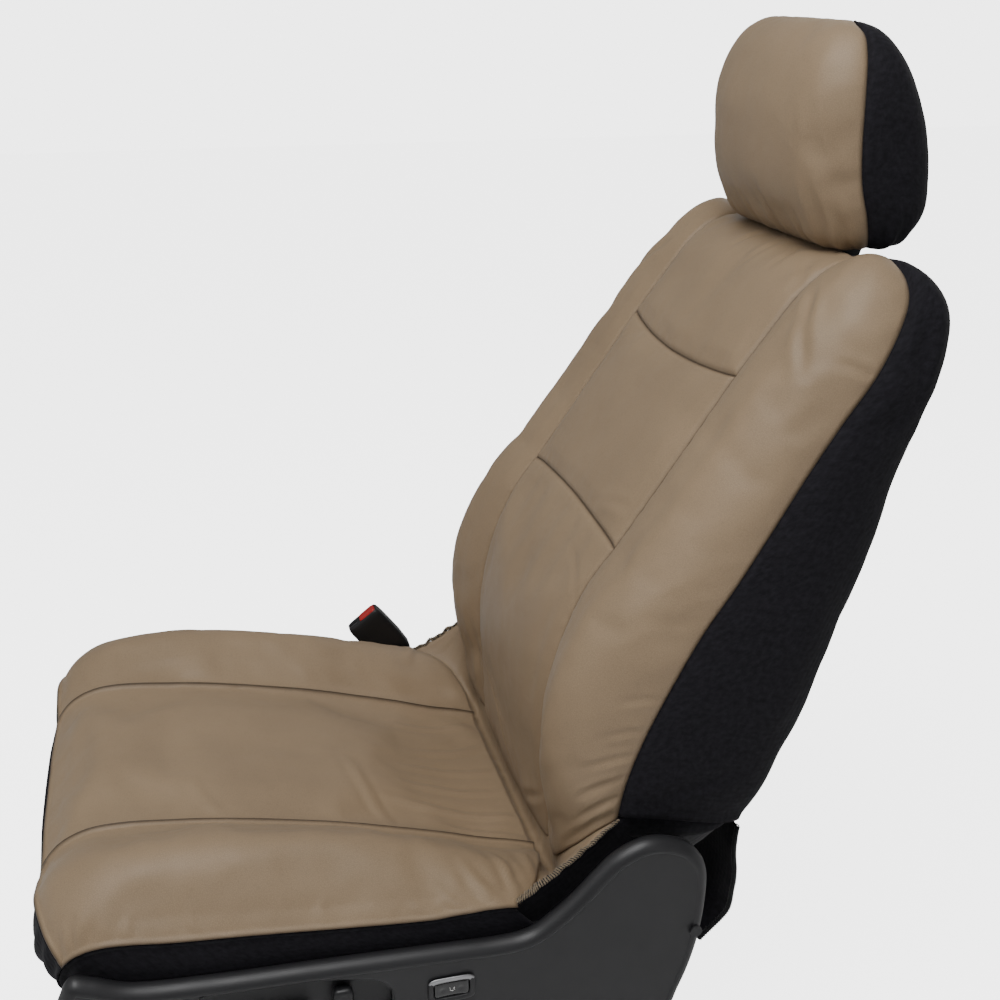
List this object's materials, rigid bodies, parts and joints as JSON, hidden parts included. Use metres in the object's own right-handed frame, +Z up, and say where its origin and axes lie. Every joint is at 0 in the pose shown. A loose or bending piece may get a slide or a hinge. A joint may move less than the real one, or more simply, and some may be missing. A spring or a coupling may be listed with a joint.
{
  "type": "front vehicle seat with fitted seat cover set",
  "caption": "Reclining front seat dressed in a two-tone fitted cover set: grained beige panels face the occupant and a black knit back and skirt wrap the sides.",
  "frame": {"origin": "bottom centre of the bounding box, on the floor", "axes": "the seat faces -Y, +X is the occupant's left, +Z is up"},
  "size_m": [0.5788, 0.8859, 1.113],
  "materials": {
    "leatherette": "matte, fine grain",
    "knit": "matte knit",
    "thread": "overlock thread",
    "grip_tape": "hook-and-loop",
    "elastic": "woven elastic",
    "webbing": "woven",
    "foam": "moulded foam",
    "chrome": "polished",
    "zinc_steel": "zinc plated",
    "frame_paint": "satin black",
    "gloss_black": "gloss",
    "silver_trim": "satin silver",
    "red_plastic": "semi-gloss",
    "black_plastic": "fine texture",
    "charcoal_plastic": "fine texture"
  },
  "bodies": {
    "floor_rails": {"rail_lower_left": "frame_paint", "rail_lower_right": "frame_paint"},
    "cushion": {"cushion_foam": "foam", "cushion_pan": "frame_paint", "frame_sides": "frame_paint", "cross_tubes": "frame_paint", "risers": "frame_paint", "rails_upper": "zinc_steel", "rail_bolts": "zinc_steel", "recliner_discs": "zinc_steel", "side_shield_left": "charcoal_plastic", "side_shield_right": "charcoal_plastic", "shield_screws": "charcoal_plastic", "lumbar_switch_bezel": "silver_trim", "seat_switch_housing": "charcoal_plastic", "buckle_anchor": "zinc_steel", "cushion_cover_centre": "leatherette", "cushion_cover_bolster_left": "leatherette", "cushion_cover_bolster_right": "leatherette", "cushion_cover_front_band": "knit", "cushion_cover_side_skirts": "knit", "cushion_cover_serged_edges": "thread", "cushion_cover_elastic_cord": "elastic", "cushion_cover_crease_strip": "leatherette", "cushion_cover_straps": "webbing", "cushion_cover_strap_adjusters": "charcoal_plastic", "cushion_cover_strap_hooks": "zinc_steel"},
    "backrest": {"back_foam": "foam", "back_frame_uprights": "frame_paint", "back_frame_top_tube": "frame_paint", "back_frame_lower_tube": "frame_paint", "recliner_arms": "frame_paint", "recliner_pins": "zinc_steel", "guide_tubes": "frame_paint", "post_guide_left": "charcoal_plastic", "post_guide_right": "charcoal_plastic", "back_cover_upper_panel": "leatherette", "back_cover_middle_panel": "leatherette", "back_cover_lower_panel": "leatherette", "back_cover_bolster_left": "leatherette", "back_cover_bolster_right": "leatherette", "back_cover_rear": "knit", "back_cover_hem": "knit", "back_cover_serged_edges": "thread", "back_cover_post_binding": "knit"},
    "rear_flap": {"back_cover_flap": "knit", "back_cover_flap_grip_strips": "grip_tape"},
    "headrest": {"headrest_foam": "foam", "headrest_posts": "chrome", "headrest_cover_front": "leatherette", "headrest_cover_back": "knit", "headrest_cover_closure": "knit", "headrest_cover_grip_strip": "grip_tape"},
    "lock_button": {"post_lock_button": "charcoal_plastic"},
    "lumbar_switch": {"lumbar_rocker": "gloss_black"},
    "seat_switch": {"seat_switch_bar": "charcoal_plastic"},
    "backrest_switch": {"backrest_switch_knob": "charcoal_plastic"},
    "buckle": {"buckle_stalk": "black_plastic", "buckle_housing": "black_plastic"},
    "release_button": {"buckle_button": "red_plastic"}
  },
  "joints": [
    {"name": "seat_slide", "type": "slide", "parent": "floor_rails", "child": "cushion", "axis": [0, -1, 0], "range_m": [-0.1, 0.1]},
    {"name": "recline", "type": "hinge", "parent": "cushion", "child": "backrest", "pos_m": [0, 0.136, 0.33], "axis": [-1, 0, 0], "range_deg": [-10, 40]},
    {"name": "flap_swing", "type": "hinge", "parent": "backrest", "child": "rear_flap", "pos_m": [0, 0.229, 0.356], "axis": [-1, 0, 0], "range_deg": [-70, 0]},
    {"name": "headrest_height", "type": "slide", "parent": "backrest", "child": "headrest", "axis": [0, 0.342, 0.9397], "range_m": [0, 0.07]},
    {"name": "lock_press", "type": "slide", "parent": "backrest", "child": "lock_button", "axis": [1, 0, 0], "range_m": [-0.0025, 0], "stiffness_N_per_m": 300, "springref_m": 0.004},
    {"name": "lumbar_rock", "type": "hinge", "parent": "cushion", "child": "lumbar_switch", "pos_m": [0.2843, -0.08, 0.28], "axis": [0, 0, 1], "range_deg": [-6, 6], "stiffness_Nm_per_rad": 0.15},
    {"name": "seat_switch_push", "type": "slide", "parent": "cushion", "child": "seat_switch", "axis": [0, -1, 0], "range_m": [-0.004, 0.004], "stiffness_N_per_m": 300},
    {"name": "backrest_switch_tilt", "type": "hinge", "parent": "cushion", "child": "backrest_switch", "pos_m": [0.283, -0.1795, 0.282], "axis": [-1, 0, 0], "range_deg": [-12, 12], "stiffness_Nm_per_rad": 0.15},
    {"name": "buckle_swing", "type": "hinge", "parent": "cushion", "child": "buckle", "pos_m": [-0.2779, 0.026, 0.26], "axis": [1, 0, 0], "range_deg": [-15, 15]},
    {"name": "buckle_release", "type": "slide", "parent": "buckle", "child": "release_button", "axis": [0, -0.6157, 0.788], "range_m": [-0.005, 0], "stiffness_N_per_m": 400, "springref_m": 0.006}
  ]
}
